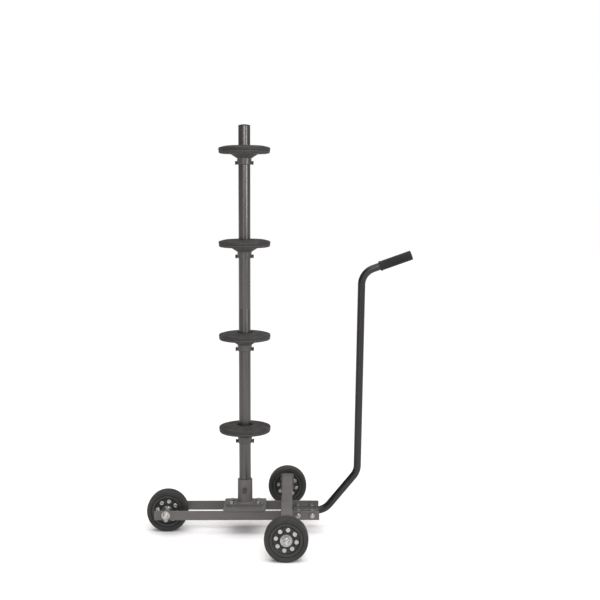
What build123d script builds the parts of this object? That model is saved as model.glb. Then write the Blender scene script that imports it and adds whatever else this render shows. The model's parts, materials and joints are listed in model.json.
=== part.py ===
from build123d import *
import math
import os

# Wheel dolly: a stand on three small wheels that stores four car wheels on one pole.
# Millimetres. +X points from the pole to the handle, +Z is up, the floor is Z = 0.
# The origin is on the floor, under the middle of the whole stand.

os.makedirs("parts", exist_ok=True)

# Stations along X
POLE_X = -99.0
TAIL_X = POLE_X - 222.0
AXLE_X = POLE_X + 120.0
HANDLE_X = POLE_X + 331.0

# Small wheels: solid tyre on a split rim, two ball bearings, eight clamping bolts
WHEEL_R = 59.0
AXLE_Z = WHEEL_R
TRACK_HALF = 253.0
TYRE_HALF_WIDTH = 17.5
TYRE_SHOULDER = 3.2
TYRE_CROWN = 0.6
TYRE_BORE_R = 40.0
BEAD_HALF_WIDTH = 13.0
RIM_FLANGE_R = 45.0
RIM_FLANGE_END = 15.5
RIM_WEB = 10.0
HUB_R = 20.0
BEARING_R = 15.95
RIM_BORE_R = 9.0
BEARING_SEAT_R = 16.0
BEARING_IN = 6.5
BEARING_OUT = 16.5
SHIELD_RECESS = 0.6
SHIELD_INNER_R, SHIELD_OUTER_R = 8.4, 13.4
AXLE_R = 6.0
AXLE_PLAY = 0.05
RIM_BOLT_CIRCLE_R = 27.5
RIM_BOLT_COUNT = 8
RIM_BOLT_PHASE = 34.5

# Base: two flat bars side by side, a cross beam on top, plates that carry the main axle
BAR_INNER_Y = 46.0
BAR_T = 5.0
BAR_LOW = 44.5
BAR_HIGH = 70.5
BAR_TAIL_X = POLE_X - 255.0
BAR_HEAD_X = POLE_X + 212.0
BAR_MID_Z = (BAR_LOW + BAR_HIGH) / 2
BEAM_SIDE = 30.0
BEAM_WALL = 2.0
AXLE_PLATE_T = 5.0
AXLE_PLATE_HALF = 20.0
AXLE_HALF = 285.0
SIDE_PLAY = 0.3
PLATE_T = 6.0
PLATE_LENGTH = 120.0
PLATE_WIDTH = 106.0
TAIL_SPACER_R = 9.5

# Fasteners: across flats, head height, nut height, shank radius; washers: radius, thickness
M6_FLATS, M6_HEAD, M6_NUT, M6_R = 10.0, 4.0, 5.0, 3.0
M8_FLATS, M8_HEAD, M8_NUT, M8_R = 13.0, 5.3, 6.5, 4.0
M12_FLATS, M12_HEAD, M12_NUT = 19.0, 7.5, 10.0
M12_WASHER_R, M12_WASHER_T = 12.0, 2.5
HOLE_PLAY = 0.2

# Pole: two lengths of 33.7 mm tube on an inner sleeve, in a flanged socket
POLE_R = 16.85
POLE_WALL = 2.5
POLE_TOP = 1159.0
POLE_SPLIT = 640.0
CAP_T, CAP_EDGE = 4.0, 1.4
SLEEVE_HALF = 60.0
SOCKET_TOP = 150.0
SOCKET_WALL = 4.2
FLANGE_LENGTH, FLANGE_WIDTH, FLANGE_T = 104.0, 52.0, 6.0
FLANGE_BOLT_X, FLANGE_BOLT_Y = 38.0, 14.0
LOCK_BOLT_Z = 122.0

# Rest discs: each has a rubber pad on top and a collar with two clamp screws below
DISC_TOPS = (308.0, 573.0, 838.0, 1103.0)
DISC_R = 73.5
PAD_T = 14.0
PAD_HOLE_R = 22.0
PAD_FLAT_R = 44.0
PAD_EDGE_DROP = 6.3
PAD_EDGE_ROUND = 4.0
GROOVE_RADII = (46.0, 54.0, 62.0)
GROOVE_HALF_WIDTH, GROOVE_DEPTH = 0.9, 1.0
PLATE_EDGE_R = 72.8
UNDERSIDE_DROP = 22.3
CONE_R = 40.5
COLLAR_R, COLLAR_START, COLLAR_END = 20.5, 36.0, 54.0
DISC_PLAY = 0.10
CLAMP_DROP = 49.0
CLAMP_HEAD = 5.0
CLAMP_HEAD_GAP = 0.6
CLAMP_TIP_GAP = 0.3

# Handle: one bent tube, bolted between the bars, with a grip that rises to its end
TUBE_R = 10.65
TUBE_WALL = 2.0
BEND_R = 50.0
TUBE_END_X = POLE_X + 138.0
RISE_ANGLE = 50.0
KNEE_Z = 170.5
LEAN_ANGLE = 1.2
LEAN_REF_Z = 608.0
GRIP_ANGLE = 19.5
GRIP_TIP_X, GRIP_TIP_Z = POLE_X + 475.2, 792.6
GRIP_LENGTH = 96.0
GRIP_R = 13.6
GRIP_WALL_END = 6.0
HANDLE_BOLTS_X = (POLE_X + 152.0, POLE_X + 192.0)
SPACER_R = 8.0


def save(piece, name):
    """Label a finished piece and write its STEP file."""
    piece.part.label = name
    export_step(piece.part, f"parts/{name}.step")


def hex_screw(flats, head, shank_r, length):
    """Hexagon head above Z = 0, its corners turned off, and a shank below."""
    corner_r = flats / 2 / math.cos(math.pi / 6)
    with BuildPart() as screw:
        with BuildSketch():
            RegularPolygon(flats / 2, 6, major_radius=False)
        extrude(amount=head)
        with BuildSketch(Plane.XZ):
            with BuildLine():
                Polyline((0, 0), (corner_r, 0), (corner_r, head * 0.8), (flats * 0.48, head),
                         (0, head), close=True)
            make_face()
        revolve(axis=Axis.Z, mode=Mode.INTERSECT)
        with BuildSketch():
            Circle(shank_r)
        extrude(amount=-length)
        chamfer(screw.edges().sort_by(Axis.Z)[0], shank_r * 0.15)
    return screw.part


def hex_nut(flats, height, bore_r):
    """Self-locking hexagon nut standing on Z = 0, with its round collar on top."""
    corner_r = flats / 2 / math.cos(math.pi / 6)
    with BuildPart() as nut:
        with BuildSketch():
            RegularPolygon(flats / 2, 6, major_radius=False)
        extrude(amount=height)
        with BuildSketch(Plane.XZ):
            with BuildLine():
                Polyline(
                    (0, 0), (flats * 0.47, 0), (corner_r, height * 0.1), (corner_r, height * 0.66),
                    (flats * 0.45, height * 0.75), (flats * 0.42, height * 0.94), (flats * 0.38, height),
                    (0, height), close=True)
            make_face()
        revolve(axis=Axis.Z, mode=Mode.INTERSECT)
        with BuildSketch():
            Circle(bore_r)
        extrude(amount=height, mode=Mode.SUBTRACT)
    return nut.part


def ring(outer_r, inner_r, thickness):
    """Flat washer or spacer sleeve standing on Z = 0."""
    with BuildPart() as washer:
        with BuildSketch():
            Circle(outer_r)
            Circle(inner_r, mode=Mode.SUBTRACT)
        extrude(amount=thickness)
        rims = washer.edges().filter_by(GeomType.CIRCLE).group_by(SortBy.RADIUS)[-1]
        chamfer(rims, min(0.3, thickness * 0.1))
    return washer.part


def facing(x, y, z, direction):
    """A plane across the Y axis at a point, its normal towards -Y or +Y."""
    return Plane(origin=(x, y, z), x_dir=(1, 0, 0), z_dir=(0, direction, 0))


# ---------------------------------------------------------------- side bars

bar_holes = [(x, AXLE_Z, AXLE_R) for x in (TAIL_X, AXLE_X)]
bar_holes += [(x, BAR_MID_Z, M8_R) for x in HANDLE_BOLTS_X]

for name, side in (("near_side_bar", -1), ("far_side_bar", 1)):
    with BuildPart() as bar:
        with BuildSketch(facing((BAR_TAIL_X + BAR_HEAD_X) / 2, side * BAR_INNER_Y, BAR_MID_Z, side)):
            RectangleRounded(BAR_HEAD_X - BAR_TAIL_X, BAR_HIGH - BAR_LOW, 2.0)
        extrude(amount=BAR_T)
        long_edges = bar.edges().filter_by(Axis.X)
        fillet(long_edges, 0.8)
        for hole_x, hole_z, hole_r in bar_holes:
            with BuildSketch(facing(hole_x, side * BAR_INNER_Y, hole_z, side)):
                Circle(hole_r + HOLE_PLAY)
            extrude(amount=BAR_T, mode=Mode.SUBTRACT)
    save(bar, name)

# ---------------------------------------------------------------- cross beam and axle plates

beam_half = TRACK_HALF - BEARING_OUT - SIDE_PLAY - M12_WASHER_T - AXLE_PLATE_T
beam_mid_z = BAR_HIGH + BEAM_SIDE / 2

with BuildPart() as cross_beam:
    with BuildSketch(facing(AXLE_X, 0, beam_mid_z, 1)):
        RectangleRounded(BEAM_SIDE, BEAM_SIDE, 3.5)
        RectangleRounded(BEAM_SIDE - 2 * BEAM_WALL, BEAM_SIDE - 2 * BEAM_WALL, 1.5, mode=Mode.SUBTRACT)
    extrude(amount=beam_half, both=True)
save(cross_beam, "cross_beam")

with BuildPart() as axle_plates:
    for side in (-1, 1):
        plate_height = BAR_HIGH + BEAM_SIDE - AXLE_Z
        with BuildSketch(facing(AXLE_X, side * beam_half, AXLE_Z, side)):
            Circle(AXLE_PLATE_HALF)
            with Locations((0, -side * plate_height / 2)):
                Rectangle(2 * AXLE_PLATE_HALF, plate_height)
            Circle(AXLE_R + HOLE_PLAY, mode=Mode.SUBTRACT)
        extrude(amount=AXLE_PLATE_T)
    top_corners = axle_plates.edges().filter_by(Axis.Y).group_by(Axis.Z)[-1]
    fillet(top_corners, 4.0)
save(axle_plates, "axle_plates")

# ---------------------------------------------------------------- main axle and tail bolt

with BuildPart() as main_axle:
    with BuildSketch(facing(AXLE_X, 0, AXLE_Z, 1)):
        Circle(AXLE_R)
    extrude(amount=AXLE_HALF, both=True)
    chamfer(main_axle.edges(), 0.8)
save(main_axle, "main_axle")

bar_outer_y = BAR_INNER_Y + BAR_T
tail_head_y = bar_outer_y + M12_WASHER_T
tail_bolt_length = 2 * tail_head_y + M12_NUT + 3.0

with BuildPart() as tail_axle_bolt:
    with Locations(facing(TAIL_X, tail_head_y, AXLE_Z, 1)):
        add(hex_screw(M12_FLATS, M12_HEAD, AXLE_R, tail_bolt_length))
save(tail_axle_bolt, "tail_axle_bolt")

spacer_start = BEARING_OUT + SIDE_PLAY
with BuildPart() as tail_axle_spacers:
    with Locations(*[facing(TAIL_X, side * spacer_start, AXLE_Z, side) for side in (-1, 1)]):
        add(ring(TAIL_SPACER_R, AXLE_R + HOLE_PLAY, BAR_INNER_Y - spacer_start))
save(tail_axle_spacers, "tail_axle_spacers")

hub_face_y = TRACK_HALF + BEARING_OUT + SIDE_PLAY
washer_seats = ((TAIL_X, bar_outer_y), (AXLE_X, hub_face_y), (AXLE_X, beam_half + AXLE_PLATE_T))
washer_planes = [facing(x, side * y, AXLE_Z, side) for x, y in washer_seats for side in (-1, 1)]
with BuildPart() as axle_washers:
    with Locations(*washer_planes):
        add(ring(M12_WASHER_R, AXLE_R + HOLE_PLAY, M12_WASHER_T))
save(axle_washers, "axle_washers")

nut_planes = [facing(AXLE_X, side * (hub_face_y + M12_WASHER_T), AXLE_Z, side) for side in (-1, 1)]
nut_planes += [facing(TAIL_X, -tail_head_y, AXLE_Z, -1)]
with BuildPart() as axle_nuts:
    with Locations(*nut_planes):
        add(hex_nut(M12_FLATS, M12_NUT, AXLE_R))
save(axle_nuts, "axle_nuts")

# ---------------------------------------------------------------- small wheels


def wheel(name, x, y, outward):
    """One small wheel; its bolt heads face outward along Y."""
    axis = Axis((x, y, AXLE_Z), (0, 1, 0))
    profile = Plane(origin=(x, y, AXLE_Z), x_dir=(0, outward, 0), z_dir=(outward, 0, 0))

    with BuildPart() as tyre:
        with BuildSketch(profile):
            with BuildLine():
                half, tread_half = TYRE_HALF_WIDTH, TYRE_HALF_WIDTH - TYRE_SHOULDER
                tread_r, side_r = WHEEL_R - TYRE_CROWN, WHEEL_R - TYRE_CROWN - TYRE_SHOULDER
                bend = TYRE_SHOULDER * math.sqrt(0.5)
                Polyline((-BEAD_HALF_WIDTH, RIM_FLANGE_R + 0.4), (-BEAD_HALF_WIDTH, TYRE_BORE_R),
                         (BEAD_HALF_WIDTH, TYRE_BORE_R), (BEAD_HALF_WIDTH, RIM_FLANGE_R + 0.4),
                         (half - 1.0, RIM_FLANGE_R + 1.2), (half, RIM_FLANGE_R + 3.0), (half, side_r))
                ThreePointArc((half, side_r), (tread_half + bend, side_r + bend), (tread_half, tread_r))
                ThreePointArc((tread_half, tread_r), (0, WHEEL_R), (-tread_half, tread_r))
                ThreePointArc((-tread_half, tread_r), (-tread_half - bend, side_r + bend), (-half, side_r))
                Polyline((-half, side_r), (-half, RIM_FLANGE_R + 3.0),
                         (1.0 - half, RIM_FLANGE_R + 1.2), (-BEAD_HALF_WIDTH, RIM_FLANGE_R + 0.4))
            make_face()
        revolve(axis=axis)
    save(tyre, f"{name}_tyre")

    for half_name, side in (("outer_rim", 1), ("inner_rim", -1)):
        with BuildPart() as rim:
            with BuildSketch(profile):
                with BuildLine():
                    Polyline((0, RIM_BORE_R), (side * BEARING_IN, RIM_BORE_R),
                             (side * BEARING_IN, BEARING_SEAT_R), (side * BEARING_OUT, BEARING_SEAT_R),
                             (side * BEARING_OUT, HUB_R - 0.8),
                             (side * (BEARING_OUT - 0.8), HUB_R), (side * RIM_WEB, HUB_R + 1.6),
                             (side * RIM_WEB, TYRE_BORE_R - 5.0), (side * RIM_FLANGE_END, TYRE_BORE_R - 2.0),
                             (side * RIM_FLANGE_END, RIM_FLANGE_R - 0.8),
                             (side * (RIM_FLANGE_END - 0.8), RIM_FLANGE_R),
                             (side * BEAD_HALF_WIDTH, RIM_FLANGE_R), (side * BEAD_HALF_WIDTH, TYRE_BORE_R),
                             (0, TYRE_BORE_R), close=True)
                make_face()
            revolve(axis=axis)
            with BuildSketch(facing(x, y, AXLE_Z, outward)):
                with PolarLocations(RIM_BOLT_CIRCLE_R, RIM_BOLT_COUNT, RIM_BOLT_PHASE):
                    Circle(M6_R + HOLE_PLAY)
            extrude(amount=side * RIM_WEB, mode=Mode.SUBTRACT)
        save(rim, f"{name}_{half_name}")

    with BuildPart() as rim_bolts:
        with Locations(facing(x, y + outward * RIM_WEB, AXLE_Z, outward)):
            with PolarLocations(RIM_BOLT_CIRCLE_R, RIM_BOLT_COUNT, RIM_BOLT_PHASE):
                add(hex_screw(M6_FLATS, M6_HEAD, M6_R, 2 * RIM_WEB + M6_NUT))
    save(rim_bolts, f"{name}_rim_bolts")

    with BuildPart() as rim_nuts:
        with Locations(facing(x, y - outward * RIM_WEB, AXLE_Z, -outward)):
            with PolarLocations(RIM_BOLT_CIRCLE_R, RIM_BOLT_COUNT, -RIM_BOLT_PHASE):
                add(hex_nut(M6_FLATS, M6_NUT, M6_R))
    save(rim_nuts, f"{name}_rim_nuts")

    with BuildPart() as bearings:
        with BuildSketch(profile):
            for side in (-1, 1):
                with BuildLine():
                    inner, outer = side * BEARING_IN, side * BEARING_OUT
                    shield = side * (BEARING_OUT - SHIELD_RECESS)
                    bore_r = AXLE_R + AXLE_PLAY
                    Polyline((inner, bore_r), (outer, bore_r), (outer, SHIELD_INNER_R),
                             (shield, SHIELD_INNER_R), (shield, SHIELD_OUTER_R), (outer, SHIELD_OUTER_R),
                             (outer, BEARING_R), (inner, BEARING_R), close=True)
                make_face()
        revolve(axis=axis)
    save(bearings, f"{name}_bearings")


wheel("tail_wheel", TAIL_X, 0.0, -1)
wheel("near_wheel", AXLE_X, -TRACK_HALF, -1)
wheel("far_wheel", AXLE_X, TRACK_HALF, 1)

# ---------------------------------------------------------------- base plate and pole socket

plate_top = BAR_HIGH + PLATE_T
flange_top = plate_top + FLANGE_T
flange_grid = (2 * FLANGE_BOLT_X, 2 * FLANGE_BOLT_Y, 2, 2)

with BuildPart() as base_plate:
    with BuildSketch(Plane((POLE_X, 0, BAR_HIGH))):
        RectangleRounded(PLATE_LENGTH, PLATE_WIDTH, 6.0)
        with GridLocations(*flange_grid):
            Circle(M8_R + HOLE_PLAY, mode=Mode.SUBTRACT)
    extrude(amount=PLATE_T)
save(base_plate, "base_plate")

with BuildPart() as pole_socket:
    with BuildSketch(Plane((POLE_X, 0, plate_top))):
        RectangleRounded(FLANGE_LENGTH, FLANGE_WIDTH, 8.0)
        with GridLocations(*flange_grid):
            Circle(M8_R + HOLE_PLAY, mode=Mode.SUBTRACT)
    extrude(amount=FLANGE_T)
    with BuildSketch(Plane((POLE_X, 0, plate_top))):
        Circle(POLE_R + SOCKET_WALL)
    extrude(amount=SOCKET_TOP - plate_top)
    chamfer(pole_socket.edges().group_by(Axis.Z)[-1], 1.2)
    with BuildSketch(Plane((POLE_X, 0, plate_top))):
        Circle(POLE_R + 0.15)
    extrude(amount=SOCKET_TOP - plate_top, mode=Mode.SUBTRACT)
    with BuildSketch(Plane(origin=(POLE_X, 0, LOCK_BOLT_Z), x_dir=(1, 0, 0), z_dir=(0, -1, 0))):
        Circle(M8_R + AXLE_PLAY)
    extrude(amount=2 * POLE_R, mode=Mode.SUBTRACT)
save(pole_socket, "pole_socket")

with BuildPart() as socket_bolts:
    with Locations(Plane((POLE_X, 0, flange_top))):
        with GridLocations(*flange_grid):
            add(hex_screw(M8_FLATS, M8_HEAD, M8_R, FLANGE_T + PLATE_T + M8_NUT + 2.0))
save(socket_bolts, "socket_bolts")

with BuildPart() as socket_nuts:
    with Locations(Plane(origin=(POLE_X, 0, BAR_HIGH), z_dir=(0, 0, -1))):
        with GridLocations(*flange_grid):
            add(hex_nut(M8_FLATS, M8_NUT, M8_R))
save(socket_nuts, "socket_nuts")

socket_face = POLE_R + SOCKET_WALL
with BuildPart() as pole_lock_bolt:
    with Locations(facing(POLE_X, -(socket_face + 1.0), LOCK_BOLT_Z, -1)):
        add(hex_screw(M8_FLATS, M8_HEAD, M8_R, socket_face + 1.0 - POLE_R - 0.1))
save(pole_lock_bolt, "pole_lock_bolt")

# ---------------------------------------------------------------- pole

for name, bottom, top in (("pole_lower", plate_top, POLE_SPLIT), ("pole_upper", POLE_SPLIT, POLE_TOP)):
    with BuildPart() as pole:
        with BuildSketch(Plane((POLE_X, 0, bottom))):
            Circle(POLE_R)
            Circle(POLE_R - POLE_WALL, mode=Mode.SUBTRACT)
        extrude(amount=top - bottom)
    save(pole, name)

sleeve_r = POLE_R - POLE_WALL - 0.15
with BuildPart() as pole_sleeve:
    with BuildSketch(Plane((POLE_X, 0, POLE_SPLIT))):
        Circle(sleeve_r)
        Circle(sleeve_r - 2.0, mode=Mode.SUBTRACT)
    extrude(amount=SLEEVE_HALF, both=True)
save(pole_sleeve, "pole_sleeve")

with BuildPart() as pole_cap:
    with BuildSketch(Plane(origin=(POLE_X, 0, POLE_TOP), x_dir=(1, 0, 0), z_dir=(0, -1, 0))):
        with BuildLine():
            plug_r = POLE_R - POLE_WALL - 0.1
            Polyline((0, CAP_T), (0, -14.0), (plug_r - 1.0, -14.0), (plug_r, -12.0), (plug_r, 0),
                     (POLE_R, 0), (POLE_R, CAP_EDGE))
            dome_rise = CAP_T - CAP_EDGE
            dome_r = (POLE_R ** 2 + dome_rise ** 2) / (2 * dome_rise)
            dome_mid = CAP_T - dome_r + math.sqrt(dome_r ** 2 - (POLE_R / 2) ** 2)
            ThreePointArc((POLE_R, CAP_EDGE), (POLE_R / 2, dome_mid), (0, CAP_T))
        make_face()
    revolve(axis=Axis((POLE_X, 0, 0), (0, 0, 1)))
save(pole_cap, "pole_cap")

# ---------------------------------------------------------------- rest discs

for number, disc_top in enumerate(DISC_TOPS, start=1):
    pole_axis = Axis((POLE_X, 0, 0), (0, 0, 1))
    disc_plane = Plane(origin=(POLE_X, 0, disc_top), x_dir=(1, 0, 0), z_dir=(0, -1, 0))
    clamp_z = disc_top - CLAMP_DROP

    with BuildPart() as rest_disc:
        with BuildSketch(disc_plane) as section:
            with BuildLine():
                bore_r = POLE_R + DISC_PLAY
                Polyline((bore_r, -PAD_T), (bore_r, -COLLAR_END), (COLLAR_R, -COLLAR_END),
                         (COLLAR_R, -COLLAR_START), (CONE_R, -UNDERSIDE_DROP),
                         (PLATE_EDGE_R, -UNDERSIDE_DROP), (PLATE_EDGE_R, -PAD_T), close=True)
            make_face()
            fillet(section.vertices().group_by(Axis.X)[-1], 1.6)
        revolve(axis=pole_axis)
        chamfer(rest_disc.edges().group_by(Axis.Z)[0], 0.7)
        with BuildSketch(Plane(origin=(POLE_X, 0, clamp_z), x_dir=(0, 1, 0), z_dir=(1, 0, 0))):
            Circle(M6_R + AXLE_PLAY)
        extrude(amount=COLLAR_R + 5.0, both=True, mode=Mode.SUBTRACT)
    save(rest_disc, f"rest_disc_{number}")

    with BuildPart() as pad:
        with BuildSketch(disc_plane) as section:
            with BuildLine():
                Polyline((PAD_HOLE_R, 0), (PAD_HOLE_R, -PAD_T), (DISC_R, -PAD_T), (DISC_R, -PAD_EDGE_DROP),
                         (PAD_FLAT_R, 0), close=True)
            make_face()
            top_corner = section.vertices().group_by(Axis.X)[-1].sort_by(Axis.Z)[-1]
            fillet(top_corner, PAD_EDGE_ROUND)
            for groove_r in GROOVE_RADII:
                slope_drop = PAD_EDGE_DROP * (groove_r - PAD_FLAT_R) / (DISC_R - PAD_FLAT_R)
                with Locations((groove_r, -slope_drop)):
                    Rectangle(2 * GROOVE_HALF_WIDTH, 2 * GROOVE_DEPTH, mode=Mode.SUBTRACT)
        revolve(axis=pole_axis)
    save(pad, f"disc_pad_{number}")

    for side_name, side in (("left", -1), ("right", 1)):
        head_r = COLLAR_R + CLAMP_HEAD_GAP
        head_plane = Plane(origin=(POLE_X + side * head_r, 0, clamp_z), x_dir=(0, 1, 0), z_dir=(side, 0, 0))
        with BuildPart() as clamp_screw:
            with Locations(head_plane):
                add(hex_screw(M6_FLATS, CLAMP_HEAD, M6_R, head_r - POLE_R - CLAMP_TIP_GAP))
        save(clamp_screw, f"clamp_screw_{number}_{side_name}")

# ---------------------------------------------------------------- handle

rise = math.radians(RISE_ANGLE)
lean = math.tan(math.radians(LEAN_ANGLE))
slope = math.tan(math.radians(GRIP_ANGLE))
grip_direction = Vector(math.cos(math.radians(GRIP_ANGLE)), 0, math.sin(math.radians(GRIP_ANGLE)))
grip_tip = Vector(GRIP_TIP_X, 0, GRIP_TIP_Z)

# The upright leans outward; it meets the low rise at the knee and the grip's line at the elbow.
knee_x = HANDLE_X + (KNEE_Z - LEAN_REF_Z) * lean
foot_x = knee_x - (KNEE_Z - BAR_MID_Z) / math.tan(rise)
elbow_z = (GRIP_TIP_Z - slope * (GRIP_TIP_X - HANDLE_X + LEAN_REF_Z * lean)) / (1 - slope * lean)
elbow_x = HANDLE_X + (elbow_z - LEAN_REF_Z) * lean
tube_tip = grip_tip - grip_direction * GRIP_WALL_END
tube_start = (TUBE_END_X, 0, BAR_MID_Z)

with BuildPart() as handle_tube:
    with BuildLine() as route:
        FilletPolyline(tube_start, (foot_x, 0, BAR_MID_Z), (knee_x, 0, KNEE_Z), (elbow_x, 0, elbow_z),
                       tuple(tube_tip), radius=BEND_R)
    with BuildSketch(Plane(origin=tube_start, x_dir=(0, 1, 0), z_dir=(1, 0, 0))):
        Circle(TUBE_R)
        Circle(TUBE_R - TUBE_WALL, mode=Mode.SUBTRACT)
    sweep(path=route.line)
    for bolt_x in HANDLE_BOLTS_X:
        with BuildSketch(facing(bolt_x, 0, BAR_MID_Z, 1)):
            Circle(M8_R + HOLE_PLAY)
        extrude(amount=2 * TUBE_R, both=True, mode=Mode.SUBTRACT)
save(handle_tube, "handle_tube")

grip_start = grip_tip - grip_direction * GRIP_LENGTH
with BuildPart() as handle_grip:
    with BuildSketch(Plane(origin=grip_start, x_dir=grip_direction, z_dir=(0, -1, 0))):
        with BuildLine():
            tube_end = GRIP_LENGTH - GRIP_WALL_END
            Polyline((0, TUBE_R), (0, GRIP_R - 0.6))
            ThreePointArc((0, GRIP_R - 0.6), (0.45, GRIP_R + 0.35), (1.4, GRIP_R + 0.8))
            Polyline((1.4, GRIP_R + 0.8), (4.6, GRIP_R + 0.8))
            ThreePointArc((4.6, GRIP_R + 0.8), (5.6, GRIP_R + 0.45), (6.2, GRIP_R - 0.2))
            ThreePointArc((6.2, GRIP_R - 0.2), (GRIP_LENGTH / 2, GRIP_R + 0.2), (GRIP_LENGTH - 8.0, GRIP_R))
            Polyline((GRIP_LENGTH - 8.0, GRIP_R), (GRIP_LENGTH - 2.0, GRIP_R))
            ThreePointArc((GRIP_LENGTH - 2.0, GRIP_R), (GRIP_LENGTH - 0.586, GRIP_R - 0.586),
                          (GRIP_LENGTH, GRIP_R - 2.0))
            Polyline((GRIP_LENGTH, GRIP_R - 2.0), (GRIP_LENGTH, 0), (tube_end, 0), (tube_end, TUBE_R),
                     (0, TUBE_R))
        make_face()
    revolve(axis=Axis(grip_start, grip_direction))
save(handle_grip, "handle_grip")

with BuildPart() as handle_plug:
    with BuildSketch(Plane(origin=tube_start, x_dir=(1, 0, 0), z_dir=(0, -1, 0))):
        with BuildLine():
            plug_r = TUBE_R - TUBE_WALL - 0.1
            Polyline((-2.0, 0), (-2.0, TUBE_R - 1.2), (-1.2, TUBE_R), (0, TUBE_R), (0, plug_r),
                     (7.0, plug_r), (8.0, plug_r - 1.0), (8.0, 0), close=True)
        make_face()
    revolve(axis=Axis(tube_start, (1, 0, 0)))
save(handle_plug, "handle_plug")

with BuildPart() as handle_bolts:
    with Locations(*[facing(bolt_x, bar_outer_y, BAR_MID_Z, 1) for bolt_x in HANDLE_BOLTS_X]):
        add(hex_screw(M8_FLATS, M8_HEAD, M8_R, 2 * bar_outer_y + M8_NUT + 2.0))
save(handle_bolts, "handle_bolts")

with BuildPart() as handle_nuts:
    with Locations(*[facing(bolt_x, -bar_outer_y, BAR_MID_Z, -1) for bolt_x in HANDLE_BOLTS_X]):
        add(hex_nut(M8_FLATS, M8_NUT, M8_R))
save(handle_nuts, "handle_nuts")

spacer_planes = [facing(x, side * TUBE_R, BAR_MID_Z, side) for x in HANDLE_BOLTS_X for side in (-1, 1)]
with BuildPart() as handle_spacers:
    with Locations(*spacer_planes):
        add(ring(SPACER_R, M8_R + HOLE_PLAY, BAR_INNER_Y - TUBE_R))
save(handle_spacers, "handle_spacers")
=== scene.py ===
"""The wheel dolly's looks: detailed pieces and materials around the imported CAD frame, in metres."""
import json
import math

import bmesh
import bpy
from mathutils import Matrix, Vector

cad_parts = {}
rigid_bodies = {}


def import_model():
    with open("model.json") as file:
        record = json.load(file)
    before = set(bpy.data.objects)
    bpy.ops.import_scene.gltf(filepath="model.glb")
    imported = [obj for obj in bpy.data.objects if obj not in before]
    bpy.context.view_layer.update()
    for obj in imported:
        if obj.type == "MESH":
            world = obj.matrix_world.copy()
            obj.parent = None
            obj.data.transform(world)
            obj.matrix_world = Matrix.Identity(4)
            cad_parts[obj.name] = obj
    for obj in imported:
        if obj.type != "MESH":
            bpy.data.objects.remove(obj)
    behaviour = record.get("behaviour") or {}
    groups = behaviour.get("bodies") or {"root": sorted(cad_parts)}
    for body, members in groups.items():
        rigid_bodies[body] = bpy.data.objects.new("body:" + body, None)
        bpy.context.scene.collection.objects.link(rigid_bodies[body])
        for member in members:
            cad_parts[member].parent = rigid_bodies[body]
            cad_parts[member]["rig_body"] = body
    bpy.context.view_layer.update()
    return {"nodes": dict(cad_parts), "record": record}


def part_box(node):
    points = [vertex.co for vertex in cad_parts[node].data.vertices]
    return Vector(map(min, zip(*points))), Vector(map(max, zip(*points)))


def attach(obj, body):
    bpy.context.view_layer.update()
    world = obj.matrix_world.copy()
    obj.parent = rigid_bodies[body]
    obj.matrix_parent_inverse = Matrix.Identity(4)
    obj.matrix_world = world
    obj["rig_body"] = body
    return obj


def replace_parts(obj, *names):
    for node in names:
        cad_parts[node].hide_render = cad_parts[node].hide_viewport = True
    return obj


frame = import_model()

MM = 0.001
UP = Vector((0, 0, 1))

# standard fasteners: across flats, head or nut height, shank radius, thread pitch
M6 = {"flats": 10 * MM, "radius": 3 * MM, "pitch": 1.0 * MM}
M8 = {"flats": 13 * MM, "head": 5.3 * MM, "nut": 5.0 * MM, "radius": 4 * MM, "pitch": 1.25 * MM}
M12 = {"flats": 19 * MM, "head": 7.5 * MM, "nut": 7.4 * MM, "radius": 6 * MM, "pitch": 1.75 * MM}
M12_WASHER = 2.5 * MM

# studio
FILL_STRENGTH = 0.35
FILL_COLOUR = (1.0, 0.955, 0.945, 1)
FLOOR_REACH = 60.0

# ------------------------------------------------------------------ camera, light and floor


def make_camera():
    """The photograph's view: standing in front, a little above the middle of the stand."""
    data = bpy.data.cameras.new("camera")
    data.lens = 62.3
    data.sensor_width = 36.0
    data.shift_y = -0.0976
    camera = bpy.data.objects.new("camera", data)
    camera.location = (0.0425, -2.948, 0.972)
    camera.rotation_euler = (math.radians(90 - 2.73), 0, math.radians(-0.315))
    bpy.context.scene.collection.objects.link(camera)
    bpy.context.scene.camera = camera


def area_light(name, place, target, size, power, colour=(1, 1, 1)):
    """A rectangular soft light that faces a target point."""
    data = bpy.data.lights.new(name, "AREA")
    data.shape = "RECTANGLE"
    data.size, data.size_y = size
    data.energy = power
    data.color = colour
    light = bpy.data.objects.new(name, data)
    light.location = place
    light.rotation_euler = (Vector(target) - Vector(place)).to_track_quat("-Z", "Y").to_euler()
    light.visible_camera = False
    bpy.context.scene.collection.objects.link(light)


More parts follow.
